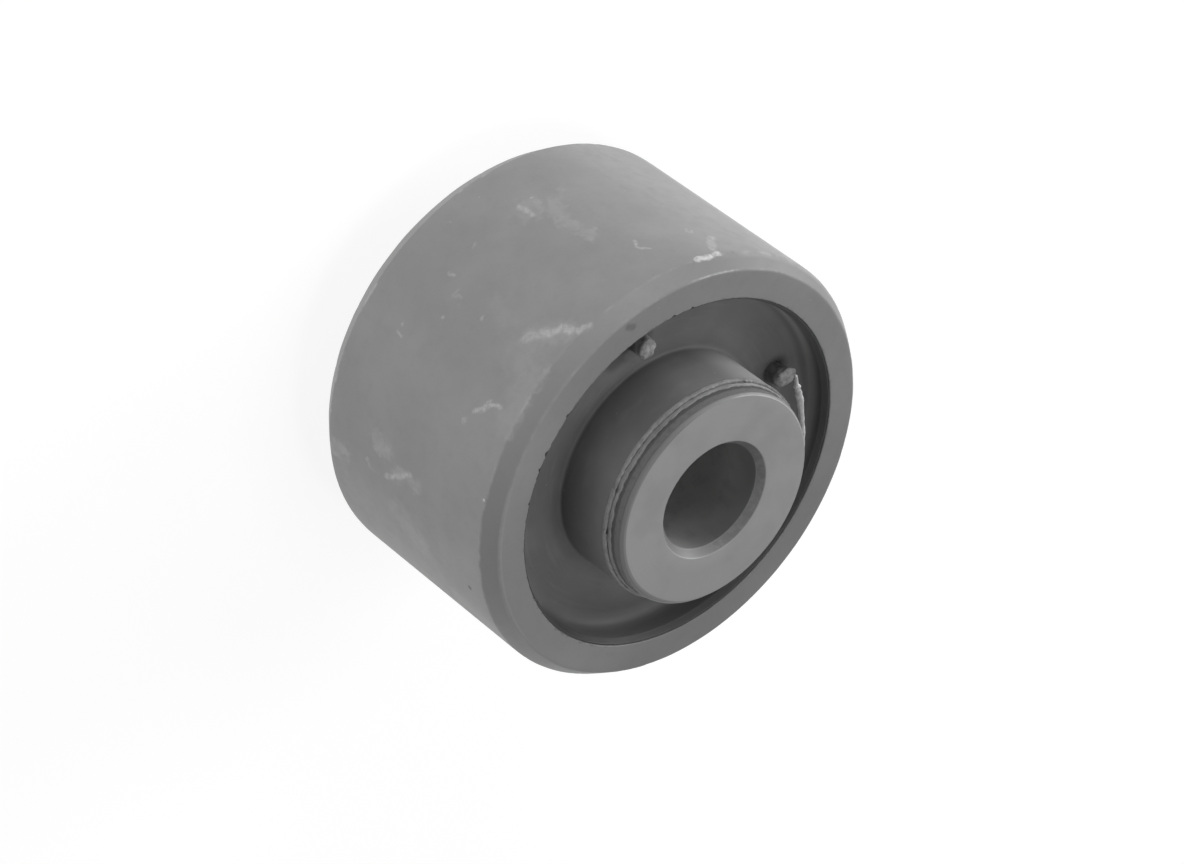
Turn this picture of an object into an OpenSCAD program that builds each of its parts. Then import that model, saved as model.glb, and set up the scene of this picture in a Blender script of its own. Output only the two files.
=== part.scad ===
// Shock absorber mount: a thick steel inner sleeve and a steel outer sleeve, bonded
// together by one ring of moulded rubber. The outer sleeve is pressed into the eye of
// the shock absorber, and a bolt clamps the inner sleeve by its two end faces.
// Millimetres. The axis is Z. The mount stands on the lower end face of the inner
// sleeve, and the origin is the centre of that face. The end with the moulding gates
// is up, with the first gate towards +X.

/* [Outer sleeve] */
// Outside diameter, the size of the eye it is pressed into
outer_od = 57; // [54:0.5:66]
// Inside diameter, where the rubber is bonded
outer_id = 46.7; // [44:0.1:50]
// Length from end face to end face
outer_len = 33.8; // [28:0.1:42]
// Lead-in chamfer of both outer edges, measured across the end face
lead_in_r = 1.4; // [0.4:0.1:2.6]
// The same chamfer, measured along the sleeve
lead_in_z = 2.1; // [0.4:0.1:6]
// Edge break of both inner edges
outer_break = 0.2; // [0.05:0.05:0.4]

/* [Inner sleeve] */
// Outside diameter
inner_od = 28.3; // [24:0.1:31]
// Bolt bore
bore_d = 14.2; // [10:0.2:18]
// Length from end face to end face
inner_len = 46.5; // [43:0.5:58]
// Countersink of both bore mouths, measured across the end face
mouth_r = 0.8; // [0.2:0.1:2]
// The same countersink, measured along the bore
mouth_z = 1; // [0.2:0.1:4]
// Edge break of both outer edges
inner_break = 0.3; // [0.05:0.05:0.8]

/* [Rubber ring] */
// Depth of the ring-shaped recess below the end face of the outer sleeve
recess_depth = 4.4; // [2:0.1:8]
// Radius where the floor of the recess turns up into the outer skin
floor_fillet = 1.8; // [0.4:0.1:2.2]
// Rubber left on the bore of the outer sleeve above the floor
skin_wall = 0.5; // [0.3:0.05:1]
// How far that skin stops short of the end face
skin_setback = 0.3; // [0.1:0.05:1]
// Rubber collar round the inner sleeve above the floor
collar_wall = 0.55; // [0.45:0.05:1]
// Radius at the foot of the collar
collar_fillet = 0.4; // [0.1:0.05:1]
// Thinner film of rubber that creeps up the sleeve above the collar
film_wall = 0.25; // [0.1:0.05:0.35]
// Length of that film
film_len = 0.9; // [0.3:0.1:2]
// Bare steel from the film to the end face of the inner sleeve
bare_len = 1.6; // [0.6:0.1:2.4]
// Thickness of the flash lip that the mould leaves on the collar's rim
lip_t = 0.3; // [0.15:0.05:0.4]
// Height of that lip above the collar
lip_h = 0.35; // [0.1:0.05:0.8]

/* [Moulding gates] */
// Angle from the first gate to the second, seen from above, clockwise
gate_spread = 88; // [60:1:120]
// Diameter of the round dimple that each gate leaves in the floor
dimple_d = 4.8; // [3.4:0.1:5.6]
// Depth of the dimple
dimple_depth = 0.9; // [0.4:0.05:1.5]
// Diameter of the torn rubber stub at the floor
stub_d = 2.3; // [1.2:0.1:3]
// Height of the stub above the floor
stub_h = 2.1; // [0.8:0.1:3.6]
// Slope of the torn top
stub_tear = 24; // [5:1:40]
// How much wider than its diameter the stub is at its root, and narrower at its top
stub_taper = 0.1; // [0:0.01:0.25]
// Direction that the first facet of the torn top faces, counted from outwards
tear_side = 35; // [0:5:90]

/* [Torn flash strand] */
// Thickness of the strand, across the axis
strand_t = 0.5; // [0.3:0.05:1]
// Width of the strand, along the axis
strand_w = 0.8; // [0.4:0.05:1.2]
// How far the strand stands off the collar at its bend
strand_reach = 1.6; // [0.9:0.1:3]
// Angle of that bend, counted from the first gate
strand_at = -110; // [-140:1:-80]
// Radius of the root, which leaves the collar
root_bend_r = 8; // [5:0.5:9]
// Radius of the free end
free_bend_r = 24; // [14:1:60]
// Sweep of the free end
free_sweep = 32; // [10:1:45]

/* [Hidden] */
$fn = 180;
fine_fn = 32;
// Straight steps along each of the strand's two arcs
arc_steps = 8;
// Overshoot of a cutting shape past the face that it cuts
cut = 1;

outer_r = outer_od / 2;
outer_ir = outer_id / 2;
inner_r = inner_od / 2;
bore_r = bore_d / 2;
mid_z = inner_len / 2;

// Heights above the middle of the mount, the same for both ends
face_h = inner_len / 2;
rim_h = outer_len / 2;
floor_h = rim_h - recess_depth;
skin_h = rim_h - skin_setback;
film_h = face_h - bare_len;
collar_h = film_h - film_len;

collar_r = inner_r + collar_wall;
skin_r = outer_ir - skin_wall;
gate_r = (collar_r + skin_r) / 2;
// Sphere that cuts a dimple of this width and depth
dimple_ball = (dimple_d * dimple_d / 4 + dimple_depth * dimple_depth) / (2 * dimple_depth);
bend_r = collar_r + strand_reach;
// Centre of the root's arc, and the angle at which that arc meets the inner sleeve
root_x = bend_r - root_bend_r;
root_sweep = acos((inner_r * inner_r - root_x * root_x - root_bend_r * root_bend_r)
                  / (2 * root_x * root_bend_r));

// Turns a section, drawn about the middle of the mount, into a ring
module ring() {
  translate([0, 0, mid_z])
    rotate_extrude()
      children();
}

// Adds the mirrored lower end to the points of an upper end, which run outwards
function with_lower_end(points) = concat(
  points,
  [for (i = [len(points) - 1 : -1 : 0]) [points[i][0], -points[i][1]]]
);

// Quarter-round web of radius r in the corner at the origin, towards +X and +Y
module web(r) {
  difference() {
    square(r);
    translate([r, r])
      circle(r = r);
  }
}

module outer_section() {
  polygon(with_lower_end([
    [outer_ir, rim_h - outer_break],
    [outer_ir + outer_break, rim_h],
    [outer_r - lead_in_r, rim_h],
    [outer_r, rim_h - lead_in_z]
  ]));
}

module inner_section() {
  polygon(with_lower_end([
    [bore_r, face_h - mouth_z],
    [bore_r + mouth_r, face_h],
    [inner_r - inner_break, face_h],
    [inner_r, face_h - inner_break]
  ]));
}

// The collar with its film and flash lip, the outer skin, and the webs at their feet
module recess_section() {
  translate([inner_r, 0])
    square([collar_wall, collar_h]);
  translate([inner_r, 0])
    square([film_wall, film_h]);
  translate([collar_r - lip_t, 0])
    square([lip_t, collar_h + lip_h - lip_t / 2]);
  translate([collar_r - lip_t / 2, collar_h + lip_h - lip_t / 2])
    circle(d = lip_t, $fn = fine_fn);
  translate([skin_r, 0])
    square([skin_wall, skin_h]);
  translate([collar_r, floor_h])
    web(collar_fillet);
  translate([skin_r, floor_h])
    mirror([1, 0])
      web(floor_fillet);
}

module rubber_section() {
  translate([inner_r, -floor_h])
    square([outer_ir - inner_r, 2 * floor_h]);
  for (end = [0, 1])
    mirror([0, end])
      recess_section();
}

// Puts its children on the floor of the upper recess, at the gate with this angle
module at_gate(angle) {
  rotate([0, 0, angle])
    translate([gate_r, 0, mid_z + floor_h])
      children();
}

module dimple() {
  translate([0, 0, dimple_ball - dimple_depth])
    sphere(r = dimple_ball);
}

// Stub of rubber that stayed when the sprue was torn off: two sloping facets on top
module stub() {
  root = dimple_depth + cut;
  difference() {
    translate([0, 0, -root])
      cylinder(h = root + stub_h, d1 = stub_d * (1 + stub_taper), d2 = stub_d * (1 - stub_taper));
    for (side = [tear_side, tear_side + 180])
      rotate([0, 0, side])
        translate([0, 0, stub_h])
          rotate([0, stub_tear, 0])
            translate([0, -stub_d, 0])
              cube(2 * stub_d);
  }
}

// Line along the strand, from its root to its free end, this far in from its outer side
function strand_line(inset) = [
  for (i = [-arc_steps : arc_steps])
    let (r = i < 0 ? root_bend_r : free_bend_r,
         a = (i < 0 ? root_sweep : free_sweep) * i / arc_steps)
      [bend_r - r + (r - inset) * cos(a), (r - inset) * sin(a)]
];

// Thin strand of flash that was peeled off the collar's lip and stands away from it
module strand() {
  inside = strand_line(strand_t);
  rotate([0, 0, strand_at])
    translate([0, 0, mid_z + collar_h - strand_w])
      difference() {
        linear_extrude(strand_w)
          polygon(concat(strand_line(0), [for (i = [len(inside) - 1 : -1 : 0]) inside[i]]));
        translate([0, 0, -cut])
          cylinder(h = strand_w + 2 * cut, r = inner_r);
      }
}

module outer_sleeve() {
  color([0.5, 0.5, 0.5])
    ring()
      outer_section();
}

module inner_sleeve() {
  color([0.56, 0.56, 0.56])
    ring()
      inner_section();
}

module rubber_body() {
  color([0.2, 0.2, 0.2]) {
    difference() {
      ring()
        rubber_section();
      for (angle = [0, -gate_spread])
        at_gate(angle)
          dimple();
    }
    for (angle = [0, -gate_spread])
      at_gate(angle)
        rotate([0, 0, angle])
          stub();
    strand();
  }
}

outer_sleeve();
rubber_body();
inner_sleeve();
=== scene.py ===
"""Finishes for a shock absorber mount: two steel sleeves, the moulded rubber ring that
bonds them, its torn flash and gate stubs, and the pale studio that it stands in."""
import math

import bmesh
import bpy
from bpy.props import FloatProperty, FloatVectorProperty, IntProperty, PointerProperty
from mathutils import Matrix, Vector, noise


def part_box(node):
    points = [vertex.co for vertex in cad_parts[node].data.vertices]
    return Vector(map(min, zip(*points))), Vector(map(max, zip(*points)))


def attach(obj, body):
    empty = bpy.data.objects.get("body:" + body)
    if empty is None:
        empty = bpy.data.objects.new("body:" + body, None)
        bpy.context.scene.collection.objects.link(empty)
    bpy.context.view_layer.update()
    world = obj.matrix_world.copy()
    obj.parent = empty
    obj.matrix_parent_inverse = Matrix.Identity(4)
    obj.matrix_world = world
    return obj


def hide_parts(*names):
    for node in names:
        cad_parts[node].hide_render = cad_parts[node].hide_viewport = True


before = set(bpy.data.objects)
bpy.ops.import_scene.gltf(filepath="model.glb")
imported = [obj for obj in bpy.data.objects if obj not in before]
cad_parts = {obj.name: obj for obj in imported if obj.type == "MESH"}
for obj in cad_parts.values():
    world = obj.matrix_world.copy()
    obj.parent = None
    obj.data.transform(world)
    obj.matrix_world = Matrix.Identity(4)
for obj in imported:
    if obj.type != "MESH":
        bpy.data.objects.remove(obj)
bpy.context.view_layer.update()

bl_info = {
    "name": "Shock absorber mount",
    "version": (1, 0, 0),
    "blender": (4, 5, 0),
    "location": "View3D > Sidebar > Mount",
    "description": "Builds the finished look of a bonded rubber and steel mount",
    "category": "Add Mesh",
}

OUTER_LOW, OUTER_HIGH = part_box("outer_sleeve")
RUBBER_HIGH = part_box("rubber_body")[1]
INNER_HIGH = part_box("inner_sleeve")[1]
MM = 0.001


def length(name, description, default, low=0.0, high=0.1):
    """A size in metres."""
    return FloatProperty(name=name, description=description, default=default, min=low, max=high,
                         unit="LENGTH", precision=5)


def grey(name, description, value):
    """A neutral colour in linear light."""
    return FloatVectorProperty(name=name, description=description, subtype="COLOR", size=3,
                               min=0.0, max=1.0, default=(value, value, value))


class MountSizes(bpy.types.PropertyGroup):
    """Sizes of the mount's pieces"""
    outer_r: length("Outer radius", "Radius of the outer sleeve", OUTER_HIGH.x)
    outer_low: length("Outer sleeve foot", "Height of the outer sleeve's lower face", OUTER_LOW.z)
    outer_high: length("Outer sleeve top", "Height of the outer sleeve's upper face", OUTER_HIGH.z)
    bond_r: length("Bond radius", "Radius at which the rubber meets the outer sleeve", RUBBER_HIGH.x)
    lead_in_r: length("Lead-in width", "Width of the lead-in chamfer across the end face", 1.4 * MM)
    lead_in_z: length("Lead-in length", "Length of the lead-in chamfer along the sleeve", 2.1 * MM)
    edge_soft: length("Edge rounding", "Radius of the worn outer edges", 0.45 * MM)
    edge_break: length("Edge break", "Edge break of the inner edges", 0.1 * MM)
    inner_r: length("Inner radius", "Outside radius of the inner sleeve", INNER_HIGH.x)
    inner_high: length("Inner sleeve top", "Height of the inner sleeve's upper face", INNER_HIGH.z)
    bore_r: length("Bore radius", "Radius of the bolt bore", 7.1 * MM)
    mouth_r: length("Mouth width", "Width of the bore's countersink across the face", 0.8 * MM)
    mouth_z: length("Mouth length", "Length of the bore's countersink along the bore", 1.0 * MM)
    inner_break: length("Inner sleeve break", "Edge break of the inner sleeve's end faces", 0.3 * MM)
    recess_depth: length("Recess depth", "Depth of the floor below the outer sleeve's face", 4.4 * MM)
    floor_fillet: length("Floor fillet", "Radius where the floor turns up into the skin", 1.8 * MM)
    skin_wall: length("Skin", "Rubber skin on the outer sleeve's bore", 0.5 * MM)
    skin_setback: length("Skin setback", "How far the skin stops short of the face", 0.3 * MM)
    collar_wall: length("Collar", "Rubber collar round the inner sleeve", 0.55 * MM)
    collar_fillet: length("Collar fillet", "Radius at the foot of the collar", 0.4 * MM)
    film_wall: length("Film", "Thin rubber film above the collar", 0.25 * MM)
    film_len: length("Film length", "Length of the film along the sleeve", 0.9 * MM)
    bare_len: length("Bare band", "Bare steel between film and end face", 1.6 * MM)
    lip_h: length("Lip height", "Height of the flash lip above the collar", 0.35 * MM)
    lip_t: length("Lip thickness", "Thickness of the flash lip", 0.3 * MM)
    dimple_r: length("Dimple radius", "Radius of the dimple round each gate", 2.6 * MM)
    dimple_depth: length("Dimple depth", "Depth of the dimple round each gate", 1.0 * MM)
    stub_r: length("Stub radius", "Radius of a torn gate stub", 1.3 * MM)
    stub_h: length("Stub height", "Height of a torn gate stub above the floor", 2.1 * MM)
    gate_spread: FloatProperty(name="Gate spread", default=math.radians(88), unit="ROTATION",
                               description="Angle from the first gate to the second")
    columns: IntProperty(name="Columns", description="Steps round each sleeve",
                         default=720, min=120, max=1000)
    ring_columns: IntProperty(name="Ring columns", description="Steps round the rubber ring",
                              default=500, min=120, max=520)

    @property
    def collar_r(self):
        """Radius of the rubber collar."""
        return self.inner_r + self.collar_wall

    @property
    def collar_top(self):
        """Height of the upper collar's rim, where the film begins."""
        return self.inner_high - self.bare_len - self.film_len

    @property
    def skin_r(self):
        """Radius inside the rubber skin."""
        return self.bond_r - self.skin_wall

    @property
    def floor(self):
        """Height of the floor of the upper recess."""
        return self.outer_high - self.recess_depth

    @property
    def gate_r(self):
        """Radius at which the gates stand, halfway between collar and skin."""
        return (self.collar_r + self.skin_r) / 2

    @property
    def gates(self):
        """Angle of each gate."""
        return 0.0, -self.gate_spread


class MountColours(bpy.types.PropertyGroup):
    """Colours of the mount's finishes"""
    coat: grey("Phosphate coat", "Dull grey coat of the outer sleeve", 0.22)
    coat_pale: grey("Pale coat", "Thin places and clouds in the coat", 0.285)
    coat_dark: grey("Dark coat", "Dark mottling of the coat", 0.172)
    scuff: grey("Scuff", "Steel laid bare by scuffs and worn edges", 0.55)
    # Also the colour of painted shade on the rubber and on the inner sleeve
    residue: grey("Residue", "Dark dried residue", 0.06)
    turned: grey("Turned steel", "End face of the inner sleeve", 0.31)
    turned_dark: grey("Dull steel", "Side and edges of the inner sleeve", 0.155)
    # Painted light: lighter than the turned steel, to lift the shade deep in the bore
    bore: grey("Bore", "Steel deep inside the bore", 0.42)
    mouth: grey("Countersink", "Oxidised countersink of the bore", 0.165)
    # A painted highlight along the lit length of the inner sleeve's edge
    bright: grey("Bright edge", "Burnished edge of the inner sleeve", 0.6)
    rubber: grey("Rubber", "Moulded rubber", 0.145)
    bloom: grey("Bloom", "Grey bloom on the rubber", 0.2)
    flash: grey("Flash", "Thin flash on the rim of the collar", 0.27)
    torn: grey("Torn rubber", "Pale torn surface of the strand and the stubs", 0.38)
    studio: grey("Studio", "Floor and surroundings", 0.9)


class Wire:
    """A shader socket that takes part in sums as a number does."""

    def __init__(self, finish, socket):
        self.finish = finish
        self.socket = socket

    def math(self, operation, *values):
        return self.finish.node("ShaderNodeMath", {"operation": operation}, dict(enumerate(values)))

    def __add__(self, other):
        return self.math("ADD", self, other)

    def __sub__(self, other):
        return self.math("SUBTRACT", self, other)

    def __rsub__(self, other):
        return self.math("SUBTRACT", other, self)

    def __mul__(self, other):
        return self.math("MULTIPLY", self, other)

    def __truediv__(self, other):
        return self.math("DIVIDE", self, other)

    def __rtruediv__(self, other):
        return self.math("DIVIDE", other, self)

    __radd__ = __add__
    __rmul__ = __mul__

    def least(self, other):
        return self.math("MINIMUM", self, other)

    def most(self, other):
        return self.math("MAXIMUM", self, other)

    def size(self):
        return self.math("ABSOLUTE", self)

    def rise(self, start, end):
        """0 below start, 1 above end, a smooth step between them."""
        return self.finish.node(
            "ShaderNodeMapRange", {"interpolation_type": "SMOOTHSTEP"},
            {"Value": self, "From Min": start, "From Max": end, "To Min": 0.0, "To Max": 1.0})

    def fall(self, start, end):
        """1 below start, 0 above end, a smooth step between them."""
        return 1.0 - self.rise(start, end)

    def band(self, low, high, soft):
        """1 between low and high, with soft edges."""
        return self.rise(low - soft, low + soft) * self.fall(high - soft, high + soft)

    def arc(self, start, end, soft):
        """1 between two angles in degrees, with edges this many radians soft."""
        return self.band(math.radians(start), math.radians(end), soft)


class Finish:
    """The nodes of one material or world. Lengths inside it are in millimetres."""

    def __init__(self, owner):
        self.owner = owner
        owner.use_nodes = True
        self.tree = owner.node_tree
        self.tree.nodes.clear()

    def node(self, kind, settings=None, sockets=None, out=0):
        """Adds a node of this kind: first its settings, then the values or wires of its sockets."""
        made = self.tree.nodes.new(kind)
        for key, value in (settings or {}).items():
            setattr(made, key, value)
        for key, value in (sockets or {}).items():
            if isinstance(value, Wire):
                self.tree.links.new(value.socket, made.inputs[key])
            else:
                made.inputs[key].default_value = value
        return Wire(self, made.outputs[out]) if made.outputs else None

    def vector(self, operation, *values, out=0, scale=None):
        sockets = dict(enumerate(values))
        if scale is not None:
            sockets["Scale"] = scale
        return self.node("ShaderNodeVectorMath", {"operation": operation}, sockets, out)

    def mix(self, factor, first, second):
        """A colour from first to second."""
        return self.node("ShaderNodeMix", {"data_type": "RGBA"},
                         {0: factor, 6: rgba(first), 7: rgba(second)}, out=2)

    def layers(self, colour, layers):
        """Lays more colours over the first one, each with its own strength."""
        for strength, layer in layers:
            colour = self.mix(strength, colour, layer)
        return colour

    def place(self):
        """Position on the part, in millimetres."""
        where = self.node("ShaderNodeTexCoord", out=3)
        return self.vector("SCALE", where, scale=1000.0)

    def flat(self, where):
        """A position with its height left out."""
        return self.vector("MULTIPLY", where, (1.0, 1.0, 0.0))

    def round_place(self, where):
        """Radius, angle in radians and height of a position."""
        radius = self.vector("LENGTH", self.flat(where), out=1)
        x, y, z = (self.node("ShaderNodeSeparateXYZ", sockets={0: where}, out=i) for i in range(3))
        return radius, y.math("ARCTAN2", y, x), z

    def facing(self, where, turn):
        """1 on the side at this angle in degrees, 0 a quarter turn away, -1 on the far side."""
        turn = math.radians(turn)
        flat = self.flat(where)
        ahead = self.vector("DOT_PRODUCT", flat, (math.cos(turn), math.sin(turn), 0.0), out=1)
        return ahead / self.vector("LENGTH", flat, out=1)

    def join(self, x, y, z=0.0):
        return self.node("ShaderNodeCombineXYZ", sockets={0: x, 1: y, 2: z})

    def cloud(self, where, grain, detail=2.0, roughness=0.5, out=0):
        """Noise from 0 to 1 whose lumps are about this many millimetres wide."""
        return self.node("ShaderNodeTexNoise", None,
                         {"Vector": where, "Scale": 1.0 / grain, "Detail": detail,
                          "Roughness": roughness}, out)

    def specks(self, where, pitch, size, share):
        """Small round spots, one for each pitch, of which this share is kept."""
        cell, pick = (self.node("ShaderNodeTexVoronoi", None,
                                {"Vector": where, "Scale": 1.0 / pitch, "Randomness": 1.0}, out)
                      for out in (0, 1))
        kept = self.node("ShaderNodeSeparateColor", sockets={0: pick})
        kept = kept.rise(1.0 - share, 1.0 - share * 0.9)
        return cell.fall(0.5 * size / pitch, size / pitch) * kept

    def stroke(self, where, points, width, soft):
        """A line drawn through points, or a spot at one point, this wide, with soft edges."""
        nearest = None
        if len(points) == 1:
            nearest = self.vector("DISTANCE", where, (*points[0], 0.0), out=1)
        for start, end in zip(points, points[1:]):
            run = Vector((*end, 0.0)) - Vector((*start, 0.0))
            ahead = self.vector("SUBTRACT", where, (*start, 0.0))
            along = self.vector("DOT_PRODUCT", ahead, tuple(run.normalized()), out=1)
            along = self.node("ShaderNodeClamp", None,
                              {"Value": along, "Min": 0.0, "Max": run.length})
            foot = self.vector("SCALE", tuple(run.normalized()), scale=along)
            away = self.vector("DISTANCE", ahead, foot, out=1)
            nearest = away if nearest is None else nearest.least(away)
        return nearest.fall(width / 2, width / 2 + soft)

    def bump(self, height, distance, strength):
        """Normal for a height in units of distance, which is in millimetres."""
        return self.node("ShaderNodeBump", None,
                         {"Strength": strength, "Distance": distance * MM, "Height": height})

    def seen(self):
        """1 for what the camera sees, straight on or in metal and glass, 0 for light on the part."""
        seen, mirrored, through = (self.node("ShaderNodeLightPath", out=out) for out in (0, 3, 6))
        return seen.most(mirrored).most(through)

    def shade(self, colour, roughness, normal, metallic, specular):
        """Ends the material with one surface shader."""
        surface = self.node("ShaderNodeBsdfPrincipled", None,
                            {"Base Color": colour, "Roughness": roughness, "Metallic": metallic,
                             "Specular IOR Level": specular, "Normal": normal})
        self.node("ShaderNodeOutputMaterial", None, {0: surface})
        return self.owner


def rgba(colour):
    """A colour as a node takes it, or the wire that brings it."""
    return colour if isinstance(colour, Wire) else (*colour, 1.0)


# Scuffs on the side of the outer sleeve: angle in degrees and height in millimetres of each
# point, then width and softness in millimetres, and strength
SCUFFS = [
    ([(26.0, 32.3), (25.1, 32.6), (22.7, 34.0)], 0.5, 0.8, 0.24),
    ([(22.7, 34.0), (21.5, 34.8), (18.9, 35.5), (18.6, 36.8)], 0.25, 0.75, 0.38),
    ([(18.1, 36.5), (17.5, 37.8), (16.6, 37.7), (14.4, 38.0)], 0.2, 0.5, 0.36),
    ([(47.2, 31.5), (45.0, 33.0), (43.5, 33.4), (42.5, 34.9)], 0.15, 0.45, 0.40),
    ([(43.6, 33.1), (42.6, 33.2)], 0.2, 0.3, 0.32),
    ([(50.5, 30.9)], 0.3, 0.5, 0.28),
    ([(-28.8, 34.3), (-26.6, 35.6), (-24.6, 36.9)], 0.4, 0.6, 0.28),
    ([(-17.6, 38.1), (-21.0, 38.1), (-24.6, 37.9)], 0.3, 0.35, 0.9),
    ([(-10.7, 31.0), (-9.4, 32.0), (-9.8, 32.5), (-11.4, 33.2)], 0.1, 0.3, 0.40),
    ([(-25.2, 31.7), (-24.4, 32.2), (-25.2, 32.7), (-26.0, 32.2)], 0.05, 0.25, 0.24),
    ([(0.7, 16.3), (0.3, 17.6), (0.6, 18.9)], 0.1, 0.55, 0.30),
    ([(-3.1, 16.1)], 0.15, 0.3, 0.36),
    ([(-3.2, 17.2), (-1.9, 19.2)], 0.2, 0.6, 0.10),
    ([(77.3, 19.9), (74.5, 22.5), (71.5, 24.5)], 0.15, 0.5, 0.32),
    ([(63.9, 37.7)], 0.25, 0.2, 1.00),
    ([(28.4, 25.2)], 0.1, 0.3, 0.36),
    ([(40.9, 15.4)], 0.15, 0.3, 0.28),
    ([(42.8, 15.1), (43.4, 16.3)], 0.05, 0.25, 0.28),
    ([(14.5, 11.3)], 0.15, 0.3, 0.32),
    ([(15.7, 16.6)], 0.1, 0.4, 0.24),
    ([(24.7, 16.9), (24.2, 17.7)], 0.05, 0.3, 0.28),
    ([(33.9, 20.3)], 0.1, 0.35, 0.28),
]

# Pale smudges in the coat, listed in the same way. The last two, broad and soft, are not smudges but
# painted sheen on the side towards the low lamps
SMUDGES_AND_SHEEN = [
    ([(25.5, 32.8), (21.8, 34.8), (18.6, 36.4)], 0.8, 1.6, 0.13),
    ([(-10.6, 17.3), (-5.5, 19.2), (-4.1, 20.7), (-3.8, 23.7)], 0.5, 1.4, 0.17),
    ([(-4.8, 26.0), (-5.1, 27.0)], 0.6, 1.2, 0.20),
    ([(-1.6, 16.6), (0.7, 18.6)], 1.0, 1.6, 0.11),
    ([(-16.0, 18.6), (-14.0, 24.0)], 3.0, 4.0, 0.09),
    ([(23.6, 26.0), (24.6, 28.6)], 0.4, 2.4, 0.09),
    ([(29.0, 33.0), (33.0, 36.4), (44.0, 37.0)], 1.0, 2.8, 0.13),
    ([(48.0, 37.9), (38.5, 37.9), (29.0, 37.9)], 0.2, 0.8, 0.18),
    ([(69.7, 17.6), (70.4, 19.4)], 1.0, 1.3, 0.21),
    ([(75.0, 21.9), (72.3, 24.0), (73.4, 25.4)], 0.9, 1.1, 0.21),
    ([(77.7, 16.3)], 0.3, 0.8, 0.21),
    ([(81.2, 9.3), (79.6, 11.4)], 0.8, 1.3, 0.21),
    ([(86.0, 22.0), (91.0, 25.6)], 1.2, 2.2, 0.15),
    ([(27.8, 20.3)], 0.2, 0.8, 0.15),
    ([(-14.0, 29.0), (-22.0, 31.5)], 0.8, 2.8, 0.09),
    ([(104.0, 31.0), (106.0, 37.0)], 0.8, 2.4, 0.12),
    # Painted sheen: broad paler bands on the side towards the low lamps
    ([(-64.0, 14.0), (-60.0, 36.0)], 6.0, 8.0, 0.25),
    ([(-33.0, 8.0), (-38.0, 36.0)], 4.0, 9.0, 0.16),
]


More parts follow.
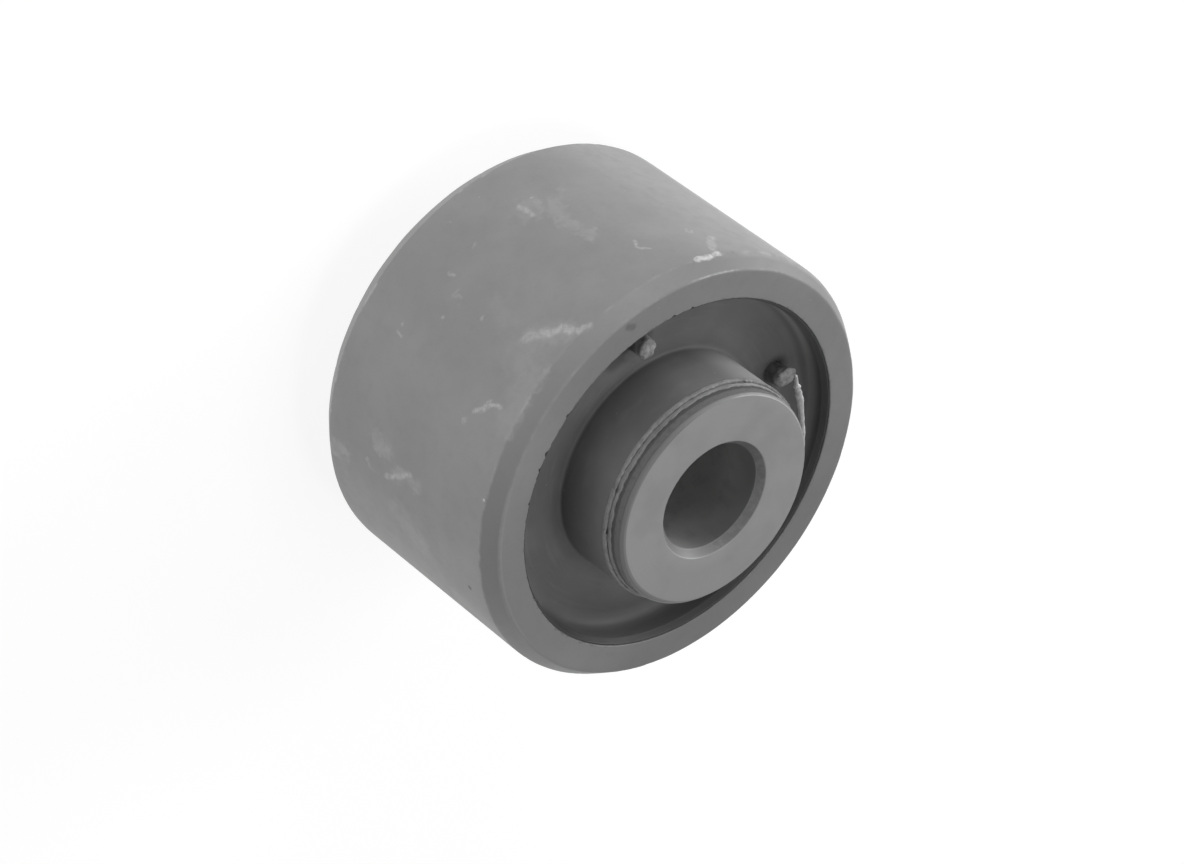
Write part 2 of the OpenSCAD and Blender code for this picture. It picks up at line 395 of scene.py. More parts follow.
def phosphated_steel(sizes, colours):
    """Dull phosphate coat: clouds, grain, scuffs, worn edges, and painted light and shade."""
    steel = Finish(bpy.data.materials.new("phosphated_steel"))
    where = steel.place()
    radius, angle, height = steel.round_place(where)
    outer_r, bond_r = sizes.outer_r / MM, sizes.bond_r / MM
    high, low = sizes.outer_high / MM, sizes.outer_low / MM
    shoulder = high - sizes.lead_in_z / MM
    foot = low + sizes.lead_in_z / MM

    big = steel.cloud(where, 9.0)
    small = steel.cloud(where, 1.6, 3.0, 0.6)
    fine = steel.cloud(where, 0.22, 2.0, 0.6)
    colour = steel.layers(colours.coat_dark, [
        (big.rise(0.36, 0.7), colours.coat_pale),
        (0.82, colours.coat),
        (small.rise(0.45, 0.8) * 0.22, colours.coat_dark),
        (fine.rise(0.5, 0.85) * 0.25, colours.coat_pale),
    ])

    # The side of the sleeve unrolled, with the lines of the marks made a little ragged
    shake = steel.vector("SUBTRACT", steel.cloud(where, 1.3, 2.0, 0.6, out=1), (0.5, 0.5, 0.5))
    side = steel.join(angle * outer_r, height)
    on_side = radius.rise(outer_r - 0.6, outer_r - 0.2)

    def marks(table, ragged):
        here = steel.vector("ADD", side, steel.vector("MULTIPLY", shake, (ragged, ragged, 0.0)))
        deepest = None
        for points, width, soft, strength in table:
            line = [(math.radians(turn) * outer_r, rise) for turn, rise in points]
            mark = steel.stroke(here, line, width, soft) * strength
            deepest = mark if deepest is None else deepest.most(mark)
        return deepest * on_side

    broken = steel.cloud(where, 0.5, 3.0, 0.65).rise(0.36, 0.62)
    worn = marks(SCUFFS, 1.0) * (0.4 + broken * 0.6)
    pale = marks(SMUDGES_AND_SHEEN, 4.0) * small.rise(0.15, 0.75)

    # Worn edges, where the coat has rubbed through in patches
    patches = steel.cloud(where, 3.2, 3.0, 0.6).rise(0.5, 0.68)
    upper_edge = height.band(shoulder - 0.1, shoulder + 0.12, 0.14) * on_side
    lower_edge = height.band(foot - 0.12, foot + 0.25, 0.16) * on_side
    rim_r = outer_r - sizes.lead_in_r / MM
    rim = radius.band(rim_r - 0.12, rim_r + 0.1, 0.12)
    rubbed = angle.arc(-27.0, -14.0, 0.05) * radius.band(rim_r - 0.04, rim_r + 0.08, 0.1)
    worn = worn.most((upper_edge * 0.15).most(lower_edge * 0.35).most(rim * 0.12) * patches)
    worn = worn.most(rubbed * (0.25 + broken * 0.4))
    worn = worn.most(steel.specks(where, 2.6, 0.13, 0.15) * 0.2)

    # Painted light and shade: the end face is painted paler on one side and darker on the other, parts
    # of the chamfer are painted darker, and a strip on the face along the chamfer's edge is a painted
    # highlight
    on_face = height.rise(high - 0.3, high - 0.1)
    pale_side = steel.facing(where, 80.0)
    dim_side = steel.facing(where, -165.0)
    painted_rim_highlight = radius.band(rim_r - 0.45, rim_r - 0.12, 0.12) * angle.arc(55.0, 115.0, 0.25)
    pale = pale.most((painted_rim_highlight * 0.17).most(pale_side.rise(0.4, 0.95) * on_face * 0.09))
    chamfer = (radius + small * 0.5 - 0.25).band(rim_r, outer_r - 0.1, 0.1)
    chamfer = chamfer * height.rise(high - 2.6, high - 1.8)
    painted_shade = (angle.arc(36.0, 98.0, 0.3) * 0.55).most(angle.arc(-75.0, -12.0, 0.25) * 0.6)
    painted_shade = (chamfer * painted_shade).most(dim_side.rise(0.4, 0.95) * on_face * 0.45)

    # Dried residue on the end face and the side, and rubber that creeps over the inner edge
    spot = steel.stroke(steel.flat(where), [(25.55, 2.9), (25.95, 3.5)], 0.3, 0.55) * on_face * 0.5
    speck = steel.stroke(side, [(math.radians(92.9) * outer_r, 35.2)], 0.3, 0.3) * on_side * 0.9
    ragged = steel.cloud(where, 0.8, 2.0, 0.6).rise(0.42, 0.7)
    creep_and_shade = (radius - ragged * 0.35).fall(bond_r - 0.04, bond_r + 0.06) * on_face
    creep_and_shade = creep_and_shade * (1.0 - dim_side.rise(0.45, 0.8) * 0.7)
    # Painted shade on the sleeve's inner edge break, darker on the far side; together with the rubber
    # that creeps over the edge, it takes the rubber's colour
    lip = radius.fall(bond_r + 0.04, bond_r + 0.1) * height.rise(high - 0.6, high - 0.4)
    creep_and_shade = creep_and_shade.most(lip * (0.8 + dim_side.rise(0.3, 0.7) * 0.5))

    colour = steel.layers(colour, [
        (painted_shade, [0.75 * part for part in colours.coat_dark]),
        (pale, colours.scuff),
        (worn, colours.scuff),
        (creep_and_shade * 0.7, colours.rubber),
        (spot.most(speck), colours.residue),
    ])
    roughness = 0.5 + small * 0.12 - worn * 0.12
    relief = fine * 0.4 + small * 0.5 - worn * 0.3
    normal = steel.bump(relief, 0.018, 0.6)
    return steel.shade(colour, roughness, normal, metallic=0.1, specular=0.5)


def turned_steel(sizes, colours):
    """Turned inner sleeve: pale end faces, edges with painted highlight and shade, a painted shade
    line where the film ends, and a bore painted light.
    """
    steel = Finish(bpy.data.materials.new("turned_steel"))
    where = steel.place()
    radius, angle, height = steel.round_place(where)
    inner_r, bore_r = sizes.inner_r / MM, sizes.bore_r / MM
    middle = sizes.inner_high / MM / 2
    film = middle - sizes.bare_len / MM
    # Height above or below the middle, so that both ends get the same finish
    end = (height - middle).size()

    big = steel.cloud(where, 6.0)
    small = steel.cloud(where, 0.9, 3.0, 0.6)
    fine = steel.cloud(where, 0.18, 2.0, 0.6)
    rings = steel.cloud(steel.join(radius * 6.0, height * 6.0, angle * 0.8), 1.0)

    dull = colours.turned_dark
    colour = steel.layers(dull, [
        (end.rise(middle - 0.25, middle - 0.1), colours.turned),
        (big.rise(0.4, 0.7) * 0.22, dull),
        (fine.rise(0.55, 0.9) * 0.2, dull),
        (rings.rise(0.55, 0.8) * 0.1, dull),
    ])

    # Bore, and its countersink with a cleaner length. The bore is painted light, lighter than the
    # turned steel, deep inside, and is painted darker towards its ends, less so on one side
    mouth_r = bore_r + sizes.mouth_r / MM
    in_mouth = radius.fall(mouth_r - 0.12, mouth_r)
    ragged = small * 0.5 - 0.25
    clean = in_mouth * (angle + ragged).arc(80.0, 172.0, 0.12)
    bore_shade_gradient = end.rise(middle - 7.0, middle - 1.0) * (1.0 - angle.arc(105.0, 165.0, 0.5) * 0.4)
    stain = steel.cloud(where, 2.2, 3.0, 0.6).rise(0.45, 0.75)
    deep = steel.layers(colours.bore, [(bore_shade_gradient, colours.mouth), (stain * 0.3, dull)])
    colour = steel.layers(colour, [
        (in_mouth, colours.mouth),
        ((in_mouth - clean) * small.rise(0.3, 0.6) * 0.35, colours.residue),
        (radius.fall(bore_r + 0.02, bore_r + 0.12), deep),
    ])

    # Edge painted dull all round and wider on the side away from the light, with painted shade on its
    # bevel there, and a painted highlight along the lit side, stronger in patches
    patches = steel.cloud(where, 4.0, 3.0, 0.6).rise(0.3, 0.6)
    edge = sizes.inner_break / MM
    rim_r = inner_r - edge
    rim_end = middle - edge
    near_end = end.rise(rim_end - 0.05, rim_end + 0.1)
    lit_edge_side = steel.facing(where, -105.0)
    unlit_edge_side = lit_edge_side.fall(-0.7, -0.1)
    # Painted shade: the end face darker on the side that faces 165 degrees, outside the mouth
    painted_shade = steel.facing(where, 165.0).rise(0.3, 1.0) * radius.rise(bore_r + 1.0, bore_r + 3.0)
    worn = (radius + unlit_edge_side * 0.35).rise(rim_r - 0.15, rim_r + 0.05) * near_end
    bevel = radius.rise(rim_r - 0.15, rim_r - 0.05) * end.rise(rim_end - 0.3, rim_end - 0.15)
    rim = radius.band(rim_r - 0.02, rim_r + 0.08, 0.05) * near_end
    painted_glint = steel.facing(where, -52.0).rise(0.83, 0.9) * patches * 0.25
    bright = rim * (lit_edge_side.rise(0.05, 0.2) * 0.15 + painted_glint)

    # Painted shade in the gap where the rubber film ends, and mottling of the bare band above it
    on_side = radius.rise(inner_r - 0.3, inner_r - 0.1)
    ragged = steel.cloud(steel.join(angle * inner_r, height * 0.3), 0.9, 3.0, 0.6)
    painted_gap_shade = (end + ragged * 0.4).fall(film + 0.38, film + 0.6) * end.rise(film - 0.6, film - 0.4)
    mottle = steel.cloud(where, 0.6, 3.0, 0.65).rise(0.46, 0.7)
    mottle = mottle * end.rise(film, film + 0.2) * end.fall(rim_end - 0.3, rim_end)
    mottle_and_shade = (painted_gap_shade * 0.7).most(mottle * 0.3) * on_side
    colour = steel.layers(colour, [
        (painted_shade * 0.16, dull),
        (worn * 0.85, dull),
        (bevel * unlit_edge_side * 0.3, colours.residue),
        (bright, colours.bright),
        (mottle_and_shade, colours.residue),
    ])
    roughness = 0.46 + small * 0.12 - bright * 0.15
    relief = fine * 0.5 + small * 0.3 + rings * 0.2
    normal = steel.bump(relief, 0.015, 0.6)
    return steel.shade(colour, roughness, normal, metallic=0.15, specular=0.42)


def moulded_rubber(sizes, colours):
    """Matt moulded rubber with a grey bloom, faint flow marks, and painted light and shade in the
    recess.
    """
    rubber = Finish(bpy.data.materials.new("moulded_rubber"))
    where = rubber.place()
    radius, angle, height = rubber.round_place(where)
    big = rubber.cloud(where, 7.0)
    small = rubber.cloud(where, 1.2, 3.0, 0.6)
    fine = rubber.cloud(where, 0.2, 2.0, 0.6)
    flow = rubber.cloud(rubber.join(radius * 1.4, angle * 3.0, height * 0.7), 1.0)
    colour = rubber.layers(colours.rubber, [
        (big.rise(0.35, 0.7) * 0.5, colours.bloom),
        (flow.rise(0.5, 0.75) * 0.35, colours.bloom),
        (fine.rise(0.6, 0.9) * 0.3, colours.bloom),
        (rubber.specks(where, 1.7, 0.14, 0.2) * 0.3, colours.torn),
    ])

    inner_r, collar_r = sizes.inner_r / MM, sizes.collar_r / MM
    skin_r, bond_r = sizes.skin_r / MM, sizes.bond_r / MM
    floor, rim = sizes.floor / MM, sizes.outer_high / MM
    middle = sizes.inner_high / MM / 2
    lit_side = rubber.facing(where, -62.0)
    strand_side = rubber.facing(where, -105.0)

    # Painted shade on part of the floor, at the foot of the collar and along the top of the skin
    on_floor = height.fall(floor + 0.4, floor + 1.4)
    on_floor = on_floor * radius.rise(collar_r + 0.65, collar_r + 3.65)
    shade = strand_side.rise(0.3, 0.9) * on_floor * 0.42
    far_side = rubber.facing(where, 175.0).rise(0.6, 0.95)
    shade = shade.most(far_side * radius.rise(bond_r - 7.5, bond_r - 2.5) * 0.68)
    on_collar = radius.fall(collar_r + 0.25, collar_r + 0.85) * height.fall(rim + 3.2, rim + 3.7)
    shade = shade.most(on_collar * lit_side.band(-0.1, 0.5, 0.25) * 0.25)
    on_skin = radius.rise(skin_r - 0.1, skin_r + 0.1)
    shade = shade.most(on_skin * height.rise(rim - 2.6, rim - 1.0) * 0.92)

    # Painted shadow beside the two gates
    flat = rubber.flat(where)
    first = rubber.stroke(flat, [(17.6, 0.6), (18.2, 2.4), (17.9, 3.6)], 1.2, 1.3)
    second = rubber.stroke(flat, [(2.4, -17.2), (2.3, -19.4)], 1.2, 2.2)
    shade = shade.most(first.most(second) * height.rise(middle, middle + 1.0) * 0.6)

    # Painted light on the skin of the strand's side and on the lit side of the collar, and more bloom
    # on the film
    wall = radius.rise(skin_r - 0.7, skin_r - 0.3) * strand_side.rise(0.3, 0.8)
    wall = wall * height.rise(floor + 0.3, floor + 1.3) * height.fall(rim - 2.6, rim - 1.0)
    lit = radius.fall(inner_r + 0.8, inner_r + 1.4) * height.rise(floor - 0.2, floor + 0.4)
    lit = lit * lit_side.rise(0.78, 1.0)
    film_top = middle - sizes.bare_len / MM
    film = (height - middle).size().rise(film_top - sizes.film_len / MM, film_top - 0.6)
    film = film * radius.fall(inner_r + 0.45, inner_r + 0.6) * (0.3 + small.rise(0.3, 0.6) * 0.7)
    colour = rubber.layers(colour, [
        (lit * 0.9, [1.5 * part for part in colours.bloom]),
        (wall * 0.9, colours.torn),
        (film * 0.6, colours.flash),
        (shade, colours.residue),
    ])
    roughness = 0.56 + small * 0.14 - big * 0.05
    relief = fine * 0.4 + small * 0.6
    normal = rubber.bump(relief, 0.03, 0.6)
    return rubber.shade(colour, roughness, normal, metallic=0.0, specular=0.4)


# Painted glints all over torn rubber, and painted shade at its root
GLINT = (0.7, 0.7, 0.7)
DEEP_SHADE = (0.06, 0.06, 0.06)


def torn_rubber(name, dark, pale, glints, root=None):
    """Rough rubber where flash or a sprue was torn off, with painted glints, and painted shade below
    the height of its root.
    """
    rubber = Finish(bpy.data.materials.new(name))
    where = rubber.place()
    lumps = rubber.cloud(where, 0.8, 2.0, 0.6)
    fine = rubber.cloud(where, 0.22, 2.0, 0.6)
    colour = rubber.layers(dark, [(lumps.rise(0.3, 0.65), pale),
                                  (fine.rise(0.62, 0.78) * glints, GLINT)])
    # Painted shade on the stub below its root
    if root is not None:
        height = rubber.round_place(where)[2] + lumps * 0.6
        colour = rubber.mix(height.fall(root, root + 0.7) * 0.62, colour, DEEP_SHADE)
    normal = rubber.bump(fine * 0.4 + lumps, 0.06, 0.8)
    return rubber.shade(colour, 0.5 + lumps * 0.2, normal, metallic=0.0, specular=0.4)


def settings(context):
    """The sizes and the colours that the user has set."""
    return context.scene.mount_sizes, context.scene.mount_colours


def round_noise(angle, radius, grain, seed, height=0.0):
    """Smooth noise from -1 to 1 that closes on itself round the axis."""
    return noise.noise(Vector((math.cos(angle) * radius / grain, math.sin(angle) * radius / grain,
                               height / grain + seed * 7.31)))


def rounded(corners, steps=4):
    """Points of a closed (r, z) outline. Each corner is (r, z, rounding, longest step to the next)."""
    points = []
    count = len(corners)
    bends = []
    for i, (r, z, soft, _) in enumerate(corners):
        here = Vector((r, z))
        back = Vector(corners[i - 1][:2]) - here
        ahead = Vector(corners[(i + 1) % count][:2]) - here
        reach = min(soft / math.tan(back.angle(ahead) / 2), 0.49 * back.length, 0.49 * ahead.length)
        if soft <= 0.0:
            bends.append([here])
            continue
        start, end = here + back.normalized() * reach, here + ahead.normalized() * reach
        bends.append([start.lerp(here, t).lerp(here.lerp(end, t), t)
                      for t in (k / steps for k in range(steps + 1))])
    for i, bend in enumerate(bends):
        points.extend(bend)
        tail, head = bend[-1], bends[(i + 1) % count][0]
        pieces = max(1, math.ceil((head - tail).length / corners[i][3]))
        points.extend(tail.lerp(head, k / pieces) for k in range(1, pieces))
    return [(p.x, p.y) for p in points]


def mirrored(corners, middle):
    """A closed outline from the corners of its upper half, listed from inside to outside."""
    steps = [corner[3] for corner in corners]
    lower = [(r, 2 * middle - z, soft, step) for (r, z, soft, _), step
             in zip(reversed(corners), steps[-2::-1] + steps[-1:])]
    return corners + lower


def join_rings(work, rings):
    """Adds the faces between each ring of points and the next."""
    for ring, after in zip(rings, rings[1:]):
        for j in range(len(ring)):
            k = (j + 1) % len(ring)
            work.faces.new((ring[j], ring[k], after[k], after[j]))


def finished_mesh(name, work):
    """The mesh of a finished bmesh, with its faces turned outwards."""
    bmesh.ops.recalc_face_normals(work, faces=work.faces)
    mesh = bpy.data.meshes.new(name)
    work.to_mesh(mesh)
    work.free()
    return mesh


def turned_mesh(name, outline, columns, warp):
    """Turns a closed (r, z) outline about the axis. warp(angle, r, z) gives a point's new (r, z)."""
    work = bmesh.new()
    rings = []
    for i in range(columns):
        angle = 2 * math.pi * i / columns
        ring = []
        for point in outline:
            r, z = warp(angle, *point)
            ring.append(work.verts.new((r * math.cos(angle), r * math.sin(angle), z)))
        rings.append(ring)
    join_rings(work, rings + rings[:1])
    return finished_mesh(name, work)


def add_piece(mesh, material):
    """Puts a finished mesh into the scene under its own name and lets it ride on the part."""
    piece = bpy.data.objects.new(mesh.name, mesh)
    bpy.context.scene.collection.objects.link(piece)
    mesh.materials.append(material)
    for face in mesh.polygons:
        face.use_smooth = True
    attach(piece, "root")
    return piece


class MOUNT_OT_outer_sleeve(bpy.types.Operator):
    """Outer sleeve with rounded, slightly nibbled edges"""
    bl_idname = "mount.outer_sleeve"
    bl_label = "Outer sleeve"

    # Nicks in the inner edge: angle in degrees, then width and depth in millimetres
    NICKS = [(-7.0, 0.6, 0.3), (-13.8, 0.5, 0.3), (35.7, 0.6, 0.35), (48.1, 0.8, 0.35),
             (53.1, 0.5, 0.3), (64.0, 0.4, 0.25)]
    # Where the inner edge is most ragged
    RAGGED_AT = math.radians(45.0)

    def execute(self, context):
        sizes, colours = settings(context)
        high, outer_r, bond_r = sizes.outer_high, sizes.outer_r, sizes.bond_r
        middle = (high + sizes.outer_low) / 2
        rim_r = outer_r - sizes.lead_in_r
        soft = sizes.edge_soft
        corners = mirrored([
            (bond_r, high - sizes.edge_break, 0.1 * MM, 1 * MM),
            (bond_r + sizes.edge_break, high, 0.1 * MM, 0.8 * MM),
            (rim_r, high, soft, 0.5 * MM),
            (outer_r, high - sizes.lead_in_z, soft, 1.2 * MM),
        ], middle)

        def nibbled(angle, r, z):
            wave = round_noise(angle, r / MM, 3.0, 1.0, z / MM)
            nick = max(0.0, round_noise(angle, r / MM, 0.9, 2.0, z / MM) - 0.35)
            above_shoulder = abs(z - middle) - (high - middle) + sizes.lead_in_z
            near_shoulder = math.exp(-(above_shoulder / (0.5 * MM)) ** 2)
            near_rim = math.exp(-((r - rim_r) / (0.4 * MM)) ** 2)
            if r > rim_r - 0.8 * MM:
                r -= (0.05 * nick + 0.02 * (1 + wave)) * near_shoulder * MM
                z += math.copysign(1.0, middle - z) * 0.1 * nick * near_rim * MM
                if r < outer_r - 0.5 * sizes.lead_in_r:
                    r += 0.05 * wave * near_rim * MM
            if z > high - 0.6 * MM and r < bond_r + 0.5 * MM:
                near_edge = max(0.0, 1 - (r - bond_r) / (0.5 * MM))
                torn = 1 + 1.5 * math.exp(-((angle - self.RAGGED_AT) / 0.4) ** 2)
                fray = 1 + round_noise(angle, r / MM, 0.35, 12.0)
                r += 0.04 * torn * fray * near_edge * MM
                for turn, wide, deep in self.NICKS:
                    away = (angle - math.radians(turn) + math.pi) % (2 * math.pi) - math.pi
                    bite = math.exp(-(away * r / (wide * 0.4 * MM)) ** 2)
                    r += bite * deep * near_edge * MM
            return r, z

        mesh = turned_mesh("outer_sleeve_steel", rounded(corners), sizes.columns, nibbled)
        piece = add_piece(mesh, phosphated_steel(sizes, colours))
        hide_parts("outer_sleeve")
        return {"FINISHED"}


class MOUNT_OT_rubber_ring(bpy.types.Operator):
    """Rubber ring with its recesses, collar, film, outer skin and gate dimples"""
    bl_idname = "mount.rubber_ring"
    bl_label = "Rubber ring"

    def execute(self, context):
        sizes, colours = settings(context)
        middle = sizes.inner_high / 2
        floor, collar_top = sizes.floor, sizes.collar_top
        collar_r, skin_r, gate_r = sizes.collar_r, sizes.skin_r, sizes.gate_r
        film_r = sizes.inner_r + sizes.film_wall
        film_top = sizes.inner_high - sizes.bare_len
        skin_top = sizes.outer_high - sizes.skin_setback
        corners = mirrored([
            (sizes.inner_r, film_top, 0.05 * MM, 0.4 * MM),
            (film_r, film_top, 0.12 * MM, 0.3 * MM),
            (film_r, collar_top, 0.08 * MM, 0.3 * MM),
            (collar_r - 0.05 * MM, collar_top, 0.1 * MM, 0.5 * MM),
            (collar_r, floor, sizes.collar_fillet, 0.28 * MM),
            (skin_r, floor, sizes.floor_fillet, 0.4 * MM),
            (skin_r, skin_top - 0.7 * MM, 0.4 * MM, 0.2 * MM),
            (sizes.bond_r - 0.12 * MM, skin_top + 0.1 * MM, 0.05 * MM, 0.1 * MM),
            (sizes.bond_r, skin_top + 0.1 * MM, 0.0, 4 * MM),
        ], middle)

        def moulded(angle, r, z):
            wave = round_noise(angle, r / MM, 1.3, 3.0, z / MM)
            fray = round_noise(angle, r / MM, 0.5, 4.0)
            end = abs(z - middle)
            outwards = math.copysign(1.0, z - middle)
            if end > film_top - middle - 0.35 * MM and r < collar_r - 0.2 * MM:
                z += outwards * (0.16 * wave + 0.12 * fray - 0.14) * MM
                if r > sizes.inner_r + 0.1 * MM:
                    r += 0.04 * wave * MM
            if end > skin_top - middle - 0.1 * MM and r > skin_r:
                z += outwards * 0.05 * (wave + fray) * MM
            if floor - 0.1 * MM < z < floor + 1.9 * MM and r > collar_r - 0.1 * MM:
                for gate in sizes.gates:
                    x = r * math.cos(angle) - gate_r * math.cos(gate)
                    y = r * math.sin(angle) - gate_r * math.sin(gate)
                    away = math.hypot(x, y) / sizes.dimple_r
                    if away < 1.0 and r > collar_r + 0.02 * MM:
                        z -= sizes.dimple_depth * (1 - away * away) ** 1.3
            if floor - 1.2 * MM < z < floor + 0.1 * MM:
                z += 0.03 * wave * MM
            return r, z

        mesh = turned_mesh("rubber_ring", rounded(corners), sizes.ring_columns, moulded)
        piece = add_piece(mesh, moulded_rubber(sizes, colours))
        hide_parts("rubber_body")
        return {"FINISHED"}


class MOUNT_OT_collar_flash(bpy.types.Operator):
    """Thin ragged lip of flash round the rim of each collar"""
    bl_idname = "mount.collar_flash"
    bl_label = "Collar flash"

    # Name of each lip, 1 at the upper end or -1 at the lower, and the seed of its noise
    LIPS = [("collar_flash_upper", 1.0, 5.0), ("collar_flash_lower", -1.0, 9.0)]
    # Larger tags of flash: angle in degrees and size
    TAGS = [(76.0, 1.0), (54.0, 0.7), (28.0, 0.4), (325.0, 0.5)]

    def execute(self, context):
        sizes, colours = settings(context)
        middle = sizes.inner_high / 2
        inside_r = sizes.collar_r - 0.85 * sizes.lip_t
        outside_r = sizes.collar_r + 0.02 * MM
        thin_rubber = torn_rubber("thin_flash", colours.bloom, colours.flash, glints=0.1)
        for name, side, seed in self.LIPS:
            root = middle + side * (sizes.collar_top - middle)
            low, high = root - side * 0.3 * MM, root + side * sizes.lip_h
            outline = rounded([
                (inside_r, low, 0.0, 0.2 * MM),
                (inside_r, high, 0.05 * MM, 0.2 * MM),
                (outside_r, high, 0.05 * MM, 0.2 * MM),
                (outside_r, low, 0.0, 0.2 * MM),
            ], steps=2)

            def ragged(angle, r, z):
                up = max(0.0, side * (z - root)) / sizes.lip_h
                wave = round_noise(angle, r / MM, 2.2, seed)
                tear = round_noise(angle, r / MM, 0.45, seed + 1)
                tag = max(0.0, round_noise(angle, r / MM, 0.8, seed + 2) - 0.38)
                tag += sum(big * math.exp(-((angle - math.radians(turn)) / 0.02) ** 2)
                           for turn, big in self.TAGS)
                z += side * up * (0.12 * wave + 0.14 * tear - 0.1 + 0.25 * tag) * MM
                r += up * (0.06 * wave + 0.05 * tear + 0.5 * tag) * MM
                return r, z

            mesh = turned_mesh(name, outline, 2 * sizes.columns, ragged)
            add_piece(mesh, thin_rubber)
        return {"FINISHED"}


class MOUNT_OT_gate_stubs(bpy.types.Operator):
    """Torn stubs of rubber that the sprues left in the two gate dimples"""
    bl_idname = "mount.gate_stubs"
    bl_label = "Gate stubs"

    # Height of each stub against its plain height, and how far its top leans out and sideways
    STUBS = [(1.2, 0.0, 0.0), (0.95, 0.4, 0.3)]
    ROWS, COLUMNS = 22, 48
    # Share of the rows that makes the side; the others make the torn top
    SIDE = 0.7

    def execute(self, context):
        sizes, colours = settings(context)
        # The root height below which the stubs are painted with shade
        torn = torn_rubber("torn_stub", colours.bloom, colours.torn, glints=0.3,
                           root=sizes.floor / MM + 0.95)
        for number, (gate, stub) in enumerate(zip(sizes.gates, self.STUBS), start=1):
            work = bmesh.new()
            rings = [self.ring(work, sizes, number, stub, row / self.ROWS)
                     for row in range(self.ROWS + 1)]
            join_rings(work, rings)
            work.faces.new(list(reversed(rings[0])))
            bmesh.ops.remove_doubles(work, verts=work.verts, dist=0.001 * MM)
            turn = Matrix.Rotation(gate, 4, "Z")
            spot = turn @ Vector((sizes.gate_r, 0.0, sizes.floor))
            bmesh.ops.transform(work, matrix=Matrix.Translation(spot) @ turn, verts=work.verts)
            add_piece(finished_mesh(f"gate_stub_{number}", work), torn)
        return {"FINISHED"}

    def ring(self, work, sizes, number, stub, share):
        """One ring of a stub's points, at this share of the way from its root to its tip."""
        tall, lean_out, lean_side = stub
        up = min(1.0, share / self.SIDE)
        inside = max(0.0, (share - self.SIDE) / (1 - self.SIDE))
        # The side swells a little towards its torn top, which is domed
        wide = (1.05 - 0.15 * up + 0.15 * up * up) * (1.0 - inside)
        ring = []
        for i in range(self.COLUMNS):
            angle = 2 * math.pi * i / self.COLUMNS
            x, y = math.cos(angle), math.sin(angle)
            lump = noise.noise(Vector((x, y, up * 1.6 + 11 * number)))
            tear = noise.noise(Vector((x * wide * 2, y * wide * 2, 17 * number)))
            top = sizes.stub_h * tall * (1.0 + 0.08 * math.cos(angle - 0.6) * wide)
            z = -sizes.dimple_depth + (top + sizes.dimple_depth) * up
            z += (0.22 * tear * up - 0.4 * (1 - inside) ** 4 * up ** 6) * MM
            r = sizes.stub_r * wide * (1 + 0.14 * lump)
            ring.append(work.verts.new((r * x + lean_out * up * up * MM,
                                        r * y + lean_side * up * up * MM, z)))
        return ring


class MOUNT_OT_flash_strand(bpy.types.Operator):
    """Strand of flash that was peeled off the collar and stands away from it"""
    bl_idname = "mount.flash_strand"
    bl_label = "Flash strand"

    # Points along the middle of the strand, its width and its thickness there, all in
    # millimetres, and its twist in degrees
    PATH = [
        (-10.6, -9.7, 43.70, 0.55, 0.50, 0), (-9.4, -11.2, 43.68, 0.66, 0.50, 0),
        (-7.9, -12.9, 43.66, 0.74, 0.52, 5), (-5.6, -14.8, 43.64, 0.84, 0.54, 8),
        (-2.8, -15.70, 43.62, 0.80, 0.62, 10), (-0.1, -16.02, 43.60, 0.72, 0.68, 10),
        (2.2, -16.22, 43.58, 0.72, 0.78, 14), (3.4, -16.24, 43.56, 0.74, 0.88, 25),
        (4.4, -16.2, 43.54, 0.70, 0.82, 18), (5.0, -16.15, 43.52, 0.60, 0.54, 5),
        (5.3, -16.15, 43.52, 0.90, 0.86, 0), (5.6, -16.1, 43.54, 0.56, 0.46, 0),
        (6.4, -16.1, 43.66, 0.46, 0.36, 0), (7.3, -16.05, 43.80, 0.34, 0.30, 0),
    ]
    # Corners of its section, and parts into which each stretch of its path is split
    SIDES, SPLITS = 12, 6

    def execute(self, context):
        colours = context.scene.mount_colours
        work = bmesh.new()
        fine = self.smooth_path()
        rings = []
        for i, (spot, wide, thick, twist) in enumerate(fine):
            run = (fine[min(i + 1, len(fine) - 1)][0] - fine[max(i - 1, 0)][0]).normalized()
            out = run.cross(Vector((0, 0, 1))).normalized()
            up = out.cross(run)
            ring = []
            for k in range(self.SIDES):
                angle = 2 * math.pi * k / self.SIDES
                x, y = math.cos(angle), math.sin(angle)
                rough = 1 + 0.26 * noise.noise(Vector((i * 0.4, x * 1.3, y * 1.3)))
                # The section is between an oval and a rectangle
                a = 0.5 * thick * math.copysign(abs(x) ** 0.7, x) * rough
                b = 0.5 * wide * math.copysign(abs(y) ** 0.7, y) * rough
                aside = a * math.cos(twist) - b * math.sin(twist)
                above = a * math.sin(twist) + b * math.cos(twist)
                ring.append(work.verts.new(spot + (out * aside + up * above) * MM))
            rings.append(ring)
        join_rings(work, rings)
        work.faces.new(rings[0])
        work.faces.new(list(reversed(rings[-1])))
        torn = torn_rubber("torn_strand", colours.torn, colours.scuff, glints=0.05)
        add_piece(finished_mesh("flash_strand", work), torn)
        return {"FINISHED"}

    def smooth_path(self):
        """The path in short steps, on a curve that goes through all of its points."""
        path = [(Vector(p[:3]) * MM, p[3], p[4], math.radians(p[5])) for p in self.PATH]
        fine = []
        for i in range(len(path) - 1):
            here, there = path[i], path[i + 1]
            near = (path[max(i - 1, 0)], here, there, path[min(i + 2, len(path) - 1)])
            for k in range(self.SPLITS):
                t = k / self.SPLITS
                weights = (0.5 * (-t ** 3 + 2 * t * t - t), 0.5 * (3 * t ** 3 - 5 * t * t + 2),
                           0.5 * (-3 * t ** 3 + 4 * t * t + t), 0.5 * (t ** 3 - t * t))
                spot = sum((point[0] * weight for point, weight in zip(near, weights)), Vector())
                fine.append((spot, *(a + (b - a) * t for a, b in zip(here[1:], there[1:]))))
        return fine + path[-1:]


